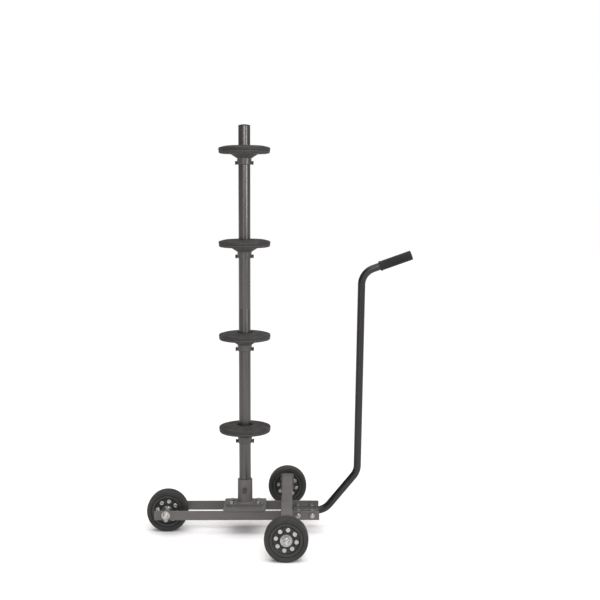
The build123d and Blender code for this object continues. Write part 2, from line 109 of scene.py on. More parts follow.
def make_studio(pole_x):
    """A white seamless studio: warm fill, a very broad light overhead, two side lights and a front key.

    The camera sees the world as plain white, whatever it lights the stand with.
    """
    world = bpy.data.worlds.new("studio")
    world.use_nodes = True
    tree = world.node_tree
    fill = tree.nodes["Background"]
    fill.inputs["Color"].default_value = FILL_COLOUR
    fill.inputs["Strength"].default_value = FILL_STRENGTH
    seen = tree.nodes.new("ShaderNodeBackground")
    seen.inputs["Color"].default_value = (1, 1, 1, 1)
    either = tree.nodes.new("ShaderNodeMixShader")
    camera_sees = tree.nodes.new("ShaderNodeLightPath").outputs["Is Camera Ray"]
    for socket, value in (("Fac", camera_sees), (1, fill.outputs[0]), (2, seen.outputs[0])):
        tree.links.new(value, either.inputs[socket])
    tree.links.new(either.outputs[0], tree.nodes["World Output"].inputs["Surface"])
    bpy.context.scene.world = world

    data = bpy.data.lights.new("overhead", "SUN")
    data.energy = 2.52
    data.angle = math.radians(75)
    overhead = bpy.data.objects.new("overhead", data)
    overhead.rotation_euler = (math.radians(4), 0, 0)
    overhead.visible_camera = False
    bpy.context.scene.collection.objects.link(overhead)

    middle = (pole_x, 0, 1.1)
    area_light("strip_right", (pole_x + 2.09, -1.87, 1.3), middle, (0.80, 1.0), 31)
    area_light("strip_left", (pole_x - 0.80, -3.10, 1.1), middle, (0.18, 2.0), 11)
    area_light("key_front", (pole_x + 0.3, -3.0, 1.95), (pole_x + 0.4, 0, 0.7), (1.1, 0.9), 34)
    bpy.context.scene.view_settings.view_transform = "Standard"


# ------------------------------------------------------------------ materials


def centre(node):
    low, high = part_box(node)
    return (low + high) / 2


class Graph:
    """A short way to write one material's node tree."""

    def __init__(self, name):
        self.material = bpy.data.materials.new(name)
        self.material.use_nodes = True
        self.tree = self.material.node_tree
        self.shader = self.tree.nodes["Principled BSDF"]
        self.place = self.node("ShaderNodeTexCoord").outputs["Object"]

    def node(self, kind, values=None, **settings):
        made = self.tree.nodes.new(kind)
        for key, value in settings.items():
            setattr(made, key, value)
        for key, value in (values or {}).items():
            if isinstance(value, bpy.types.NodeSocket):
                self.tree.links.new(value, made.inputs[key])
            else:
                made.inputs[key].default_value = value
        return made

    def noise(self, scale, detail=3.0, stretch=None, roughness=0.55):
        """A noise field; stretch squeezes it along the axes."""
        place = self.place
        if stretch:
            place = self.node("ShaderNodeMapping", {"Vector": place, "Scale": stretch}).outputs["Vector"]
        values = {"Vector": place, "Scale": scale, "Detail": detail, "Roughness": roughness}
        return self.node("ShaderNodeTexNoise", values).outputs["Fac"]

    def ranged(self, value, low, high, to_low=0.0, to_high=1.0):
        """The value mapped from one range to another, with its ends held."""
        values = {"Value": value, "From Min": low, "From Max": high, "To Min": to_low, "To Max": to_high}
        return self.node("ShaderNodeMapRange", values, clamp=True).outputs["Result"]

    def maths(self, operation, first, second):
        return self.node("ShaderNodeMath", {0: first, 1: second}, operation=operation).outputs[0]

    def mixed(self, amount, first, second):
        """Two colours mixed by an amount."""
        made = self.node("ShaderNodeMix", {"Factor": amount}, data_type="RGBA")
        for socket, value in ((made.inputs[6], first), (made.inputs[7], second)):
            if isinstance(value, bpy.types.NodeSocket):
                self.tree.links.new(value, socket)
            else:
                socket.default_value = (*value, 1.0)
        return made.outputs[2]

    def bump(self, height, depth, strength=1.0, under=None):
        values = {"Height": height, "Distance": depth, "Strength": strength}
        if under is not None:
            values["Normal"] = under
        return self.node("ShaderNodeBump", values).outputs["Normal"]

    def edges(self, radius, low=0.02, high=0.25):
        """A mask of the convex and concave edges narrower than the radius."""
        bevel = self.node("ShaderNodeBevel", {"Radius": radius}, samples=4).outputs["Normal"]
        flat = self.node("ShaderNodeNewGeometry").outputs["Normal"]
        along = self.node("ShaderNodeVectorMath", {0: bevel, 1: flat}, operation="DOT_PRODUCT")
        return self.ranged(self.maths("SUBTRACT", 1.0, along.outputs["Value"]), low, high)

    def upward(self, low=0.3, high=1.0):
        """A mask of the surfaces that face up, where dust lies; with its range reversed, a mask of those that
        face down, where painted shade goes.
        """
        normal = self.node("ShaderNodeNewGeometry").outputs["Normal"]
        height = self.node("ShaderNodeSeparateXYZ", {0: normal}).outputs["Z"]
        return self.ranged(height, low, high)

    def wire(self, socket, value):
        self.tree.links.new(value, self.shader.inputs[socket])


def powder_coat(name, dark, light, rough, peel, peel_depth, worn=None, dust=0.0, coat=0.0, specular=0.5,
                rough_and_shaded_below=0.0, dull_rim=None):
    """Baked paint: uneven tone, orange peel, rubbed edges, dust on top.

    The amount for faces below makes those that look down rougher, and darkens their colour with painted
    shade.
    dull_rim gives an axis along Z by its X, the distance from it where a scuffed rim starts, and how much
    rougher that rim is.
    """
    g = Graph(name)
    colour = g.mixed(g.ranged(g.noise(9.0, 4.0), 0.35, 0.65), dark, light)
    speck = g.ranged(g.noise(peel * 1.7, 1.0), 0.60, 0.78)
    colour = g.mixed(g.maths("MULTIPLY", speck, 0.35), colour, tuple(c * 1.45 for c in light))
    gloss = g.ranged(g.noise(26.0, 4.0), 0.3, 0.7, rough[0], rough[1])
    if worn:
        rubbed = g.maths("MULTIPLY", g.edges(1.1 * MM), g.ranged(g.noise(140.0, 3.0), 0.42, 0.62))
        colour = g.mixed(g.maths("MULTIPLY", rubbed, 0.55), colour, worn)
    if dust:
        lying = g.maths("MULTIPLY", g.upward(), g.ranged(g.noise(60.0, 5.0), 0.35, 0.75, 0.2, 1.0))
        lying = g.maths("MULTIPLY", lying, dust)
        colour = g.mixed(lying, colour, (0.30, 0.29, 0.28))
        gloss = g.maths("ADD", gloss, g.maths("MULTIPLY", lying, 0.4))
    # painted shade: faces that look down get a darker colour, and are also made rougher
    if rough_and_shaded_below:
        below = g.upward(-0.3, -0.8)
        gloss = g.maths("ADD", gloss, g.maths("MULTIPLY", below, rough_and_shaded_below))
        colour = g.mixed(g.maths("MULTIPLY", below, 0.7), colour, tuple(c * 0.4 for c in dark))
    if dull_rim:
        axis_x, start, added = dull_rim
        from_axis = g.node("ShaderNodeVectorMath", {0: g.place, 1: (axis_x, 0, 0)}, operation="SUBTRACT")
        in_plan = g.node("ShaderNodeVectorMath", {0: from_axis.outputs["Vector"], 1: (1, 1, 0)},
                         operation="MULTIPLY")
        out = g.node("ShaderNodeVectorMath", {0: in_plan.outputs["Vector"]}, operation="LENGTH")
        scuffed = g.ranged(out.outputs["Value"], start, start + 8 * MM)
        gloss = g.maths("ADD", gloss, g.maths("MULTIPLY", scuffed, added))
    normal = g.bump(g.noise(peel, 2.0), peel_depth)
    normal = g.bump(g.noise(peel * 0.22, 1.0), peel_depth * 2.5, 0.6, normal)
    g.wire("Base Color", colour)
    g.wire("Roughness", gloss)
    g.wire("Normal", normal)
    g.shader.inputs["Specular IOR Level"].default_value = specular
    g.shader.inputs["Coat Weight"].default_value = coat
    g.shader.inputs["Coat Roughness"].default_value = 0.27
    return g.material


def drawn_tube(name, dark, light, rough):
    """Smooth dark coat on drawn tube: faint lengthwise streaks along Z and a few rubbed marks."""
    g = Graph(name)
    streak = g.noise(60.0, 3.0, stretch=(6.0, 6.0, 0.04))
    scuff = g.ranged(g.noise(48.0, 5.0, stretch=(1.0, 1.0, 4.0)), 0.64, 0.80)
    colour = g.mixed(g.ranged(streak, 0.3, 0.7), dark, light)
    colour = g.mixed(g.maths("MULTIPLY", scuff, 0.18), colour, tuple(c * 1.7 for c in light))
    gloss = g.ranged(g.noise(12.0, 4.0), 0.3, 0.7, rough[0], rough[1])
    g.wire("Base Color", colour)
    g.wire("Roughness", g.maths("ADD", gloss, g.maths("MULTIPLY", scuff, 0.05)))
    g.wire("Normal", g.bump(streak, 0.002 * MM, 0.4))
    g.shader.inputs["Metallic"].default_value = 0.3
    g.shader.inputs["Specular IOR Level"].default_value = 1.0
    return g.material


def moulded(name, dark, light, rough, grain, grain_depth, dust=0.0, specular=0.5):
    """Rubber or plastic out of a mould: fine grain, soft mottling, rubbed edges and dust."""
    g = Graph(name)
    colour = g.mixed(g.ranged(g.noise(14.0, 5.0), 0.3, 0.7), dark, light)
    edge = g.maths("MULTIPLY", g.edges(0.9 * MM), 0.35)
    colour = g.mixed(edge, colour, tuple(c * 2.2 for c in light))
    gloss = g.ranged(g.noise(70.0, 4.0), 0.3, 0.7, rough[0], rough[1])
    if dust:
        lying = g.maths("MULTIPLY", g.upward(0.0), g.ranged(g.noise(45.0, 6.0), 0.4, 0.75))
        lying = g.maths("MULTIPLY", lying, dust)
        colour = g.mixed(lying, colour, (0.26, 0.25, 0.235))
    normal = g.bump(g.noise(grain, 2.0), grain_depth)
    normal = g.bump(g.noise(grain * 0.15, 3.0), grain_depth * 2.0, 0.5, normal)
    g.wire("Base Color", colour)
    g.wire("Roughness", gloss)
    g.wire("Normal", normal)
    g.shader.inputs["Specular IOR Level"].default_value = specular
    return g.material


def plated(name, dark, light, rough, tint=None, metal=1.0):
    """Plated or ground steel: fine scratches and cloudy tone."""
    g = Graph(name)
    cloud = g.ranged(g.noise(120.0, 4.0), 0.3, 0.7)
    colour = g.mixed(cloud, dark, light)
    if tint:
        colour = g.mixed(g.ranged(g.noise(42.0, 3.0), 0.5, 0.72, 0.0, 0.5), colour, tint)
    scratch = g.noise(900.0, 2.0, stretch=(1.0, 0.12, 1.0))
    g.wire("Base Color", colour)
    g.wire("Roughness", g.ranged(scratch, 0.3, 0.7, rough[0], rough[1]))
    g.wire("Normal", g.bump(scratch, 0.006 * MM, 0.7))
    g.shader.inputs["Metallic"].default_value = metal
    return g.material


def make_floor_material():
    """Plain pale floor with a hardly visible mottle."""
    g = Graph("floor")
    tone = g.ranged(g.noise(3.0, 6.0), 0.3, 0.7)
    g.wire("Base Color", g.mixed(tone, (0.925, 0.920, 0.918), (0.945, 0.942, 0.940)))
    g.wire("Roughness", g.ranged(g.noise(40.0, 4.0), 0.3, 0.7, 0.55, 0.7))
    g.shader.inputs["Specular IOR Level"].default_value = 0.05
    return g.material


pole_axis_x = centre("pole_upper").x
SCUFFED_FROM = 44 * MM

materials = {
    "pole_paint": drawn_tube("pole_coat", (0.030, 0.026, 0.0245), (0.041, 0.036, 0.034), (0.27, 0.32)),
    "handle_paint": powder_coat("handle_gloss", (0.0035, 0.003, 0.0032), (0.006, 0.005, 0.0054), (0.40, 0.50),
                                800.0, 0.004 * MM, worn=(0.03, 0.03, 0.03), coat=0.85, specular=0.0),
    "bar_paint": powder_coat("bar_coat", (0.084, 0.079, 0.077), (0.099, 0.093, 0.091), (0.42, 0.55),
                             620.0, 0.012 * MM, worn=(0.19, 0.18, 0.17), dust=0.12, specular=0.32),
    # the casting's faces that look down get painted shade (a darker colour) and more roughness
    "disc_paint": powder_coat("disc_coat", (0.023, 0.0215, 0.021), (0.033, 0.031, 0.030), (0.26, 0.34),
                              900.0, 0.008 * MM, worn=(0.06, 0.057, 0.055), dust=0.05, specular=0.7,
                              rough_and_shaded_below=0.5, dull_rim=(pole_axis_x, SCUFFED_FROM, 0.5)),
    "pad_rubber": moulded("pad_rubber", (0.019, 0.0180, 0.0178), (0.030, 0.0285, 0.028), (0.50, 0.66),
                          950.0, 0.02 * MM, dust=0.12, specular=0.28),
    "grip_rubber": moulded("grip_rubber", (0.009, 0.0086, 0.0088), (0.015, 0.0144, 0.0147), (0.52, 0.68),
                           780.0, 0.03 * MM, dust=0.05, specular=0.16),
    "tyre_rubber": moulded("tyre_rubber", (0.019, 0.0186, 0.0180), (0.030, 0.0290, 0.0284), (0.50, 0.68),
                           640.0, 0.03 * MM, dust=0.08, specular=0.25),
    "rim_plastic": moulded("rim_plastic", (0.015, 0.0158, 0.015), (0.025, 0.026, 0.0245), (0.36, 0.50),
                           820.0, 0.015 * MM, dust=0.06, specular=0.35),
    "cap_plastic": moulded("cap_plastic", (0.005, 0.005, 0.005), (0.009, 0.009, 0.009), (0.50, 0.62),
                           900.0, 0.008 * MM, dust=0.03, specular=0.16),
    "zinc_steel": plated("zinc_plate", (0.30, 0.295, 0.29), (0.52, 0.51, 0.50), (0.26, 0.42),
                         tint=(0.50, 0.46, 0.38)),
    "black_screw": plated("black_oxide", (0.028, 0.027, 0.027), (0.046, 0.044, 0.043), (0.52, 0.66),
                          metal=0.25),
    "bearing_steel": plated("ground_steel", (0.30, 0.30, 0.30), (0.46, 0.46, 0.46), (0.18, 0.32)),
}
slots = {entry["node"]: entry["material_slot"] for entry in frame["record"]["subparts"]}

# ------------------------------------------------------------------ mesh tools


def stand(origin, direction, spin=0.0):
    """The matrix that puts local +Z along a direction from an origin, turned about it by spin."""
    aim = Vector(direction).to_track_quat("Z", "Y").to_matrix().to_4x4()
    return Matrix.Translation(origin) @ aim @ Matrix.Rotation(spin, 4, "Z")


def loft(bm, place, rings, closed=False):
    """Faces between rings of points; a ring of one point closes an end."""
    made = [[bm.verts.new(place @ Vector(point)) for point in ring] for ring in rings]
    pairs = list(zip(made, made[1:]))
    if closed:
        pairs.append((made[-1], made[0]))
    for low, high in pairs:
        for k in range(max(len(low), len(high))):
            corners = (low[k % len(low)], low[(k + 1) % len(low)],
                       high[(k + 1) % len(high)], high[k % len(high)])
            bm.faces.new(list(dict.fromkeys(corners)))


def turn(along, radius, count):
    """A ring of points round local Z, or one point on it."""
    if radius < 1e-7:
        return [(0, 0, along)]
    steps = (math.tau * k / count for k in range(count))
    return [(radius * math.cos(a), radius * math.sin(a), along) for a in steps]


def lathe(bm, place, outline, closed=True, count=96):
    """A turned shape from an outline of (along, radius) points."""
    loft(bm, place, [turn(along, radius, count) for along, radius in outline], closed)


def soften(points, radius, closed=True, steps=4):
    """The outline with each corner rounded, as far as its two sides allow."""
    smooth = []
    for i, point in enumerate(points):
        here = Vector(point)
        back = Vector(points[i - 1]) - here
        ahead = Vector(points[(i + 1) % len(points)]) - here
        end = not closed and i in (0, len(points) - 1)
        if end or back.angle(ahead) > math.radians(172):
            smooth.append(here)
            continue
        reach = radius / math.tan(back.angle(ahead) / 2)
        start = here + back.normalized() * min(reach, back.length * 0.45)
        stop = here + ahead.normalized() * min(reach, ahead.length * 0.45)
        for s in range(steps + 1):
            t = s / steps
            smooth.append(start * (1 - t) ** 2 + here * 2 * t * (1 - t) + stop * t * t)
    return smooth


def thread(start, end, radius, pitch):
    """Outline of a screw thread from start to end along the axis."""
    count = max(1, int(abs(end - start) / pitch))
    step = (end - start) / count
    outline = []
    for k in range(count):
        base = start + k * step
        outline += [(base, radius - 0.60 * pitch), (base + 0.12 * step, radius - 0.60 * pitch),
                    (base + 0.46 * step, radius), (base + 0.60 * step, radius)]
    return outline + [(end, radius - 0.60 * pitch)]


def hex_side(flats, angle):
    """Distance from a hexagon's middle to its side at an angle."""
    third = math.pi / 3
    return flats / 2 / math.cos(angle % third - third / 2)


def hexagon(bm, place, flats, height, hole=0.0, base=0.0, collar=None, count=72):
    """Hexagon head or nut: corners turned off, a dished top or a nut's collar, and a hole through it."""
    crown = flats * 0.47
    tan_chamfer = math.tan(math.radians(28))
    foot, wall, brim = [], [], []
    for k in range(count):
        angle = math.tau * k / count
        side = hex_side(flats, angle)
        low = base + (side - crown) * tan_chamfer * 0.5
        high = base + height - (side - crown) * tan_chamfer
        foot.append((side * math.cos(angle), side * math.sin(angle), low))
        wall.append((side * math.cos(angle), side * math.sin(angle), high))
    rings = [turn(base, crown, count), foot, wall, turn(base + height, crown, count)]
    if collar:
        top, outer = base + height + collar, flats * 0.41
        rings += [turn(base + height, outer + 0.4 * MM, count), turn(base + height + 0.3 * MM, outer, count),
                  turn(top - 0.7 * MM, outer, count), turn(top - 0.2 * MM, outer - 0.3 * MM, count),
                  turn(top, outer - 0.8 * MM, count)]
        brim = turn(top, hole + 0.9 * MM, count)
    else:
        brim = turn(base + height, hole + 0.5 * MM if hole else flats * 0.30, count)
    rings.append(brim)
    if hole:
        inner = brim[0][2] - 0.5 * MM
        rings += [turn(inner, hole, count), turn(base + 0.5 * MM, hole, count),
                  turn(base, hole + 0.5 * MM, count)]
        loft(bm, place, rings, closed=True)
    else:
        dish = base + height - 0.25 * MM
        rings += [turn(dish, flats * 0.26, count), turn(dish, 0.0, count)]
        loft(bm, place, [turn(base, 0.0, count)] + rings)


def screw(bm, place, flats, head, radius, length, pitch, threaded, count=48):
    """Hexagon-head screw: head above local Z = 0, shank below with a threaded end."""
    hexagon(bm, place, flats, head)
    tip = -length
    outline = [(0.0, 0.0), (0.0, radius)]
    outline += thread(tip + threaded, tip + 0.8 * MM, radius, pitch)
    outline += [(tip, radius * 0.72), (tip, 0.0)]
    lathe(bm, place, outline, closed=False, count=count)


def washer(bm, place, outer, inner, thickness, count=72):
    outline = [(0, inner), (0, outer), (thickness, outer), (thickness, inner)]
    lathe(bm, place, soften(outline, 0.35 * MM, steps=2), count=count)


def piece(bm, name, nodes, sharp=33.0):
    """Makes the mesh an object that stands for the named CAD nodes, on their body, in their finish."""
    bmesh.ops.recalc_face_normals(bm, faces=bm.faces)
    for face in bm.faces:
        face.smooth = True
    for edge in bm.edges:
        if len(edge.link_faces) == 2 and edge.calc_face_angle() > math.radians(sharp):
            edge.smooth = False
    mesh = bpy.data.meshes.new(name)
    bm.to_mesh(mesh)
    bm.free()
    made = bpy.data.objects.new(name, mesh)
    bpy.context.scene.collection.objects.link(made)
    slot = slots[nodes[0]]
    mesh.materials.append(materials[slot])
    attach(made, frame["nodes"][nodes[0]]["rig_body"])
    return made


def stands_for(bm, name, *nodes, sharp=33.0):
    """A piece that takes the place of its CAD nodes."""
    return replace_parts(piece(bm, name, nodes, sharp), *nodes)


# ------------------------------------------------------------------ pole and rest discs

POLE_WALL = 2.5 * MM
DISC_BORE, COLLAR_R, CONE_R = 16.95 * MM, 20.5 * MM, 40.5 * MM
CONE_DEPTH, RIM_DEPTH = 22 * MM, 8.3 * MM
PAD_FLAT_R, PAD_EDGE_DROP, PAD_HOLE_R = 44 * MM, 6.3 * MM, 22 * MM
PAD_GROOVES = (62 * MM, 54 * MM, 46 * MM)
CLAMP_HEAD = 5 * MM


def make_pole():
    """The two pole lengths, with rounded tube ends, and the domed cap."""
    for node in ("pole_lower", "pole_upper"):
        low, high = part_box(node)
        outer = (high.x - low.x) / 2
        inner = outer - POLE_WALL
        outline = [(low.z, inner), (low.z, outer), (high.z, outer), (high.z, inner)]
        bm = bmesh.new()
        lathe(bm, stand((centre(node).x, 0, 0), UP), soften(outline, 0.5 * MM), count=128)
        stands_for(bm, node + "_tube", node)
    low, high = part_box("pole_cap")
    radius = (high.x - low.x) / 2
    rim, shoulder = high.z - 4.0 * MM, high.z - 2.6 * MM
    outline = [(low.z, 0), (low.z, radius - 3.6 * MM), (low.z + 2 * MM, radius - 2.6 * MM),
               (rim, radius - 2.6 * MM), (rim, radius)]
    rise = high.z - shoulder
    dome = (radius ** 2 + rise ** 2) / (2 * rise)
    steps = 12
    for k in range(steps + 1):
        out = radius * (1 - k / steps)
        outline.append((high.z - dome + math.sqrt(dome ** 2 - out ** 2), out))
    bm = bmesh.new()
    lathe(bm, stand((centre("pole_cap").x, 0, 0), UP), soften(outline, 0.4 * MM, closed=False), closed=False)
    stands_for(bm, "pole_end_cap", "pole_cap")


def make_disc(number):
    """One rest disc: cast body with its collar, crowned rubber pad and two clamp screws."""
    body, pad = f"rest_disc_{number}", f"disc_pad_{number}"
    low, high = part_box(body)
    axis = stand((centre(body).x, 0, 0), UP)
    rim, top, bottom = (high.x - low.x) / 2, high.z, low.z
    under = top - RIM_DEPTH
    outline = [(top, DISC_BORE), (bottom, DISC_BORE), (bottom, COLLAR_R), (top - CONE_DEPTH, COLLAR_R),
               (under - 1 * MM, CONE_R), (under - 0.8 * MM, rim - 9 * MM),
               (under + 0.6 * MM, rim - 2.6 * MM), (under + 3.4 * MM, rim), (top, rim)]
    bm = bmesh.new()
    lathe(bm, axis, soften(outline, 2.2 * MM), count=144)
    stands_for(bm, f"rest_disc_{number}_casting", body)

    low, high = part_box(pad)
    rim, base, top = (high.x - low.x) / 2, low.z, high.z

    def height(out):
        """Height of the crowned top at a radius: flat inside, then falling ever faster to the rim."""
        return top - PAD_EDGE_DROP * (max(0.0, out - PAD_FLAT_R) / (rim - PAD_FLAT_R)) ** 2

    shoulder = [(base + 2 * MM, rim), (height(rim) + 0.6 * MM, rim), (height(rim - 5 * MM), rim - 5 * MM),
                (height(rim - 9 * MM), rim - 9 * MM)]
    outline = [(base, PAD_HOLE_R), (base, rim - 0.5 * MM), (base + 0.5 * MM, rim)]
    outline += soften(shoulder, 4 * MM, closed=False, steps=8)
    for groove in PAD_GROOVES:
        for offset, depth in ((1.15, 0.0), (0.9, 0.2), (0.7, 1.0), (-0.7, 1.0), (-0.9, 0.2), (-1.15, 0.0)):
            out = groove + offset * MM
            outline.append((height(out) - depth * MM, out))
    outline += [(top, PAD_FLAT_R), (top, PAD_HOLE_R + 1 * MM), (top - 1 * MM, PAD_HOLE_R)]
    bm = bmesh.new()
    lathe(bm, axis, outline, count=144)
    stands_for(bm, f"disc_pad_{number}_ring", pad, sharp=50.0)

    for side_name, side in (("left", -1), ("right", 1)):
        node = f"clamp_screw_{number}_{side_name}"
        low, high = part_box(node)
        under_head = (low.x + CLAMP_HEAD) if side < 0 else (high.x - CLAMP_HEAD)
        bm = bmesh.new()
        place = stand((under_head, 0, centre(node).z), (side, 0, 0), 0.3 * number)
        screw(bm, place, M6["flats"], CLAMP_HEAD, M6["radius"], high.x - low.x - CLAMP_HEAD,
              M6["pitch"], 3.2 * MM)
        stands_for(bm, f"clamp_{number}_{side_name}", node)


# ------------------------------------------------------------------ small wheels

RIM_FLANGE_R, TYRE_BORE_R = 45 * MM, 40 * MM
RIM_BOLTS, BOLT_CIRCLE_R, BOLT_PHASE = 8, 27.5 * MM, 34.5
RIM_WEB = 10 * MM


def make_wheel(name, outward):
    """One wheel: solid tyre, split rim, eight bolts with their nuts, and two ball bearings."""
    tyre = f"{name}_tyre"
    low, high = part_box(tyre)
    radius, half = (high.z - low.z) / 2, (high.y - low.y) / 2
    hub = centre(tyre)
    axle = stand(hub, (0, outward, 0))
    flange = RIM_FLANGE_R

    bulge, tread = half - 0.1 * MM, half - 3.2 * MM
    side = [(13 * MM, TYRE_BORE_R), (13 * MM, flange + 0.4 * MM), (half - 1.0 * MM, flange + 1.2 * MM),
            (half, flange + 3.0 * MM), (half, flange + 4.4 * MM), (half - 0.6 * MM, flange + 5.1 * MM),
            (half - 0.6 * MM, flange + 5.9 * MM), (bulge, flange + 6.6 * MM)]
    shoulder = bulge - tread
    for k in range(7):
        bend = math.pi / 2 * k / 6
        side.append((tread + shoulder * math.cos(bend), radius - 0.6 * MM - shoulder * (1 - math.sin(bend))))
    for k in range(1, 5):
        along = tread * (1 - k / 4)
        side.append((along, radius - 0.6 * MM * (along / tread) ** 2))
    outline = side + [(-along, out) for along, out in reversed(side[:-1])]
    bm = bmesh.new()
    lathe(bm, axle, soften(outline, 0.35 * MM, steps=2), count=144)
    stands_for(bm, f"{name}_solid_tyre", tyre, sharp=40.0)

    for half_name, way in (("outer_rim", 1), ("inner_rim", -1)):
        outline = [(0.05, 9.0), (6.5, 9.0), (6.5, 16.0), (16.5, 16.0), (16.5, 19.4), (15.6, 20.0),
                   (11.2, 21.2), (10.0, 22.2), (10.0, 33.6), (11.4, 35.4), (15.0, 37.6), (15.5, 38.4),
                   (15.5, 44.2), (14.7, 45.0), (13.0, 45.0), (13.0, 40.0), (0.05, 40.0)]
        outline = [(way * along * MM, out * MM) for along, out in outline]
        bm = bmesh.new()
        lathe(bm, axle, soften(outline, 0.7 * MM), count=144)
        for k in range(RIM_BOLTS):
            boss = axle @ Matrix.Rotation(bolt_angle(k + 0.5, outward), 4, "Z")
            rib(bm, boss, (21.4 * MM, 34.6 * MM), 1.1 * MM, way * 9.6 * MM, way * 12.2 * MM)
        stands_for(bm, f"{name}_{half_name}_half", f"{name}_{half_name}")

    bm, nuts = bmesh.new(), bmesh.new()
    for k in range(RIM_BOLTS):
        around = Matrix.Rotation(bolt_angle(k, outward), 4, "Z") @ Matrix.Translation((BOLT_CIRCLE_R, 0, 0))
        spin = Matrix.Rotation(0.7 * k + 0.2, 4, "Z")
        head = axle @ around @ Matrix.Translation((0, 0, RIM_WEB)) @ spin
        washer(bm, head, 5.9 * MM, 3.1 * MM, 0.5 * MM, count=48)
        screw(bm, head @ Matrix.Translation((0, 0, 0.3 * MM)), M6["flats"], 3.7 * MM, M6["radius"], 25.2 * MM,
              M6["pitch"], 6 * MM, count=36)
        behind = Matrix.Translation((0, 0, -RIM_WEB)) @ Matrix.Rotation(math.pi, 4, "X")
        hexagon(nuts, axle @ around @ behind @ spin, M6["flats"], 3.9 * MM, hole=3.05 * MM, collar=1.1 * MM)
    stands_for(bm, f"{name}_bolt_heads", f"{name}_rim_bolts")
    stands_for(nuts, f"{name}_lock_nuts", f"{name}_rim_nuts")

    bm = bmesh.new()
    for way in (1, -1):
        outline = [(6.5, 6.05), (16.5, 6.05), (16.5, 8.3), (15.9, 8.5), (15.9, 9.6), (16.15, 10.2),
                   (16.15, 12.2), (15.9, 12.8), (15.9, 13.3), (16.5, 13.5), (16.5, 15.9), (6.5, 15.9)]
        outline = [(way * along * MM, out * MM) for along, out in outline]
        lathe(bm, axle, soften(outline, 0.35 * MM, steps=2), count=72)
    stands_for(bm, f"{name}_ball_bearings", f"{name}_bearings")


def bolt_angle(k, outward):
    """Angle of rim bolt k about the wheel's outward axis, in the wheel's own turning frame."""
    phase = math.radians(BOLT_PHASE + 360 / RIM_BOLTS * k)
    flat = Vector((math.cos(phase), 0, math.sin(phase)))
    local = stand((0, 0, 0), (0, outward, 0)).inverted() @ flat
    return math.atan2(local.y, local.x)


def rib(bm, place, ends, half_width, base, top):
    """A low rib that runs outward in a rim's web between two bolts."""
    start, stop = ends
    rings = []
    for height, inset, wide in ((base, 0.0, half_width), (top, 0.8 * MM, half_width * 0.55)):
        rings.append([(start + inset, -wide, height), (stop - inset, -wide, height),
                      (stop - inset, wide, height), (start + inset, wide, height)])
    middle_base = [tuple(sum(p[i] for p in rings[0]) / 4 for i in range(3))]
    middle_top = [tuple(sum(p[i] for p in rings[1]) / 4 for i in range(3))]
    loft(bm, place, [middle_base] + rings + [middle_top])


# ------------------------------------------------------------------ axles and fasteners

AXLE_THREAD = 17 * MM
SOCKET_BOLT_X, SOCKET_BOLT_Y = 38 * MM, 14 * MM


def make_axles():
    """Main axle, tail bolt, their washers and self-locking nuts."""
    low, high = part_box("main_axle")
    middle = centre("main_axle")
    reach = high.y - middle.y
    half = [(0.0, M12["radius"]), (reach - AXLE_THREAD, M12["radius"])]
    half += thread(reach - AXLE_THREAD, reach - 1.2 * MM, M12["radius"], M12["pitch"])
    half += [(reach, 4.6 * MM), (reach, 0.0)]
    outline = [(-along, out) for along, out in reversed(half[1:])] + half[1:]
    bm = bmesh.new()
    lathe(bm, stand(middle, (0, 1, 0)), outline, closed=False)
    stands_for(bm, "main_axle_rod", "main_axle")

    low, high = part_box("tail_axle_bolt")
    middle = centre("tail_axle_bolt")
    head = M12["head"]
    bm = bmesh.new()
    place = stand((middle.x, high.y - head, middle.z), (0, 1, 0), 0.35)
    screw(bm, place, M12["flats"], head, M12["radius"], high.y - head - low.y, M12["pitch"], 16 * MM,
          count=72)
    stands_for(bm, "tail_bolt", "tail_axle_bolt")

    axle = centre("main_axle")
    tail = centre("tail_axle_bolt")
    hub_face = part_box("near_wheel_bearings")[0].y - 0.3 * MM
    plate_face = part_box("axle_plates")[0].y
    bar_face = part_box("near_side_bar")[0].y
    bm = bmesh.new()
    for x, y in ((axle.x, hub_face), (axle.x, plate_face), (tail.x, bar_face)):
        for side in (1, -1):
            place = stand((x, side * y, axle.z), (0, -side, 0))
            washer(bm, place, 12 * MM, 6.3 * MM, M12_WASHER)
    stands_for(bm, "axle_plain_washers", "axle_washers")

    bm = bmesh.new()
    ends = ((axle.x, hub_face, -1, 0.4), (axle.x, hub_face, 1, 0.9), (tail.x, bar_face, -1, 0.15))
    for x, y, side, spin in ends:
        place = stand((x, -side * y, axle.z), (0, side, 0), spin) @ Matrix.Translation((0, 0, M12_WASHER))
        hexagon(bm, place, M12["flats"], M12["nut"], hole=6.02 * MM, collar=2.6 * MM)
    stands_for(bm, "axle_lock_nuts", "axle_nuts")


def m8_screw(bm, head_top, direction, overall, threaded, spin):
    """An M8 screw from the top of its head, which faces along the direction, with its overall length."""
    under_head = Vector(head_top) - Vector(direction) * M8["head"]
    screw(bm, stand(under_head, direction, spin), M8["flats"], M8["head"], M8["radius"],
          overall - M8["head"], M8["pitch"], threaded)


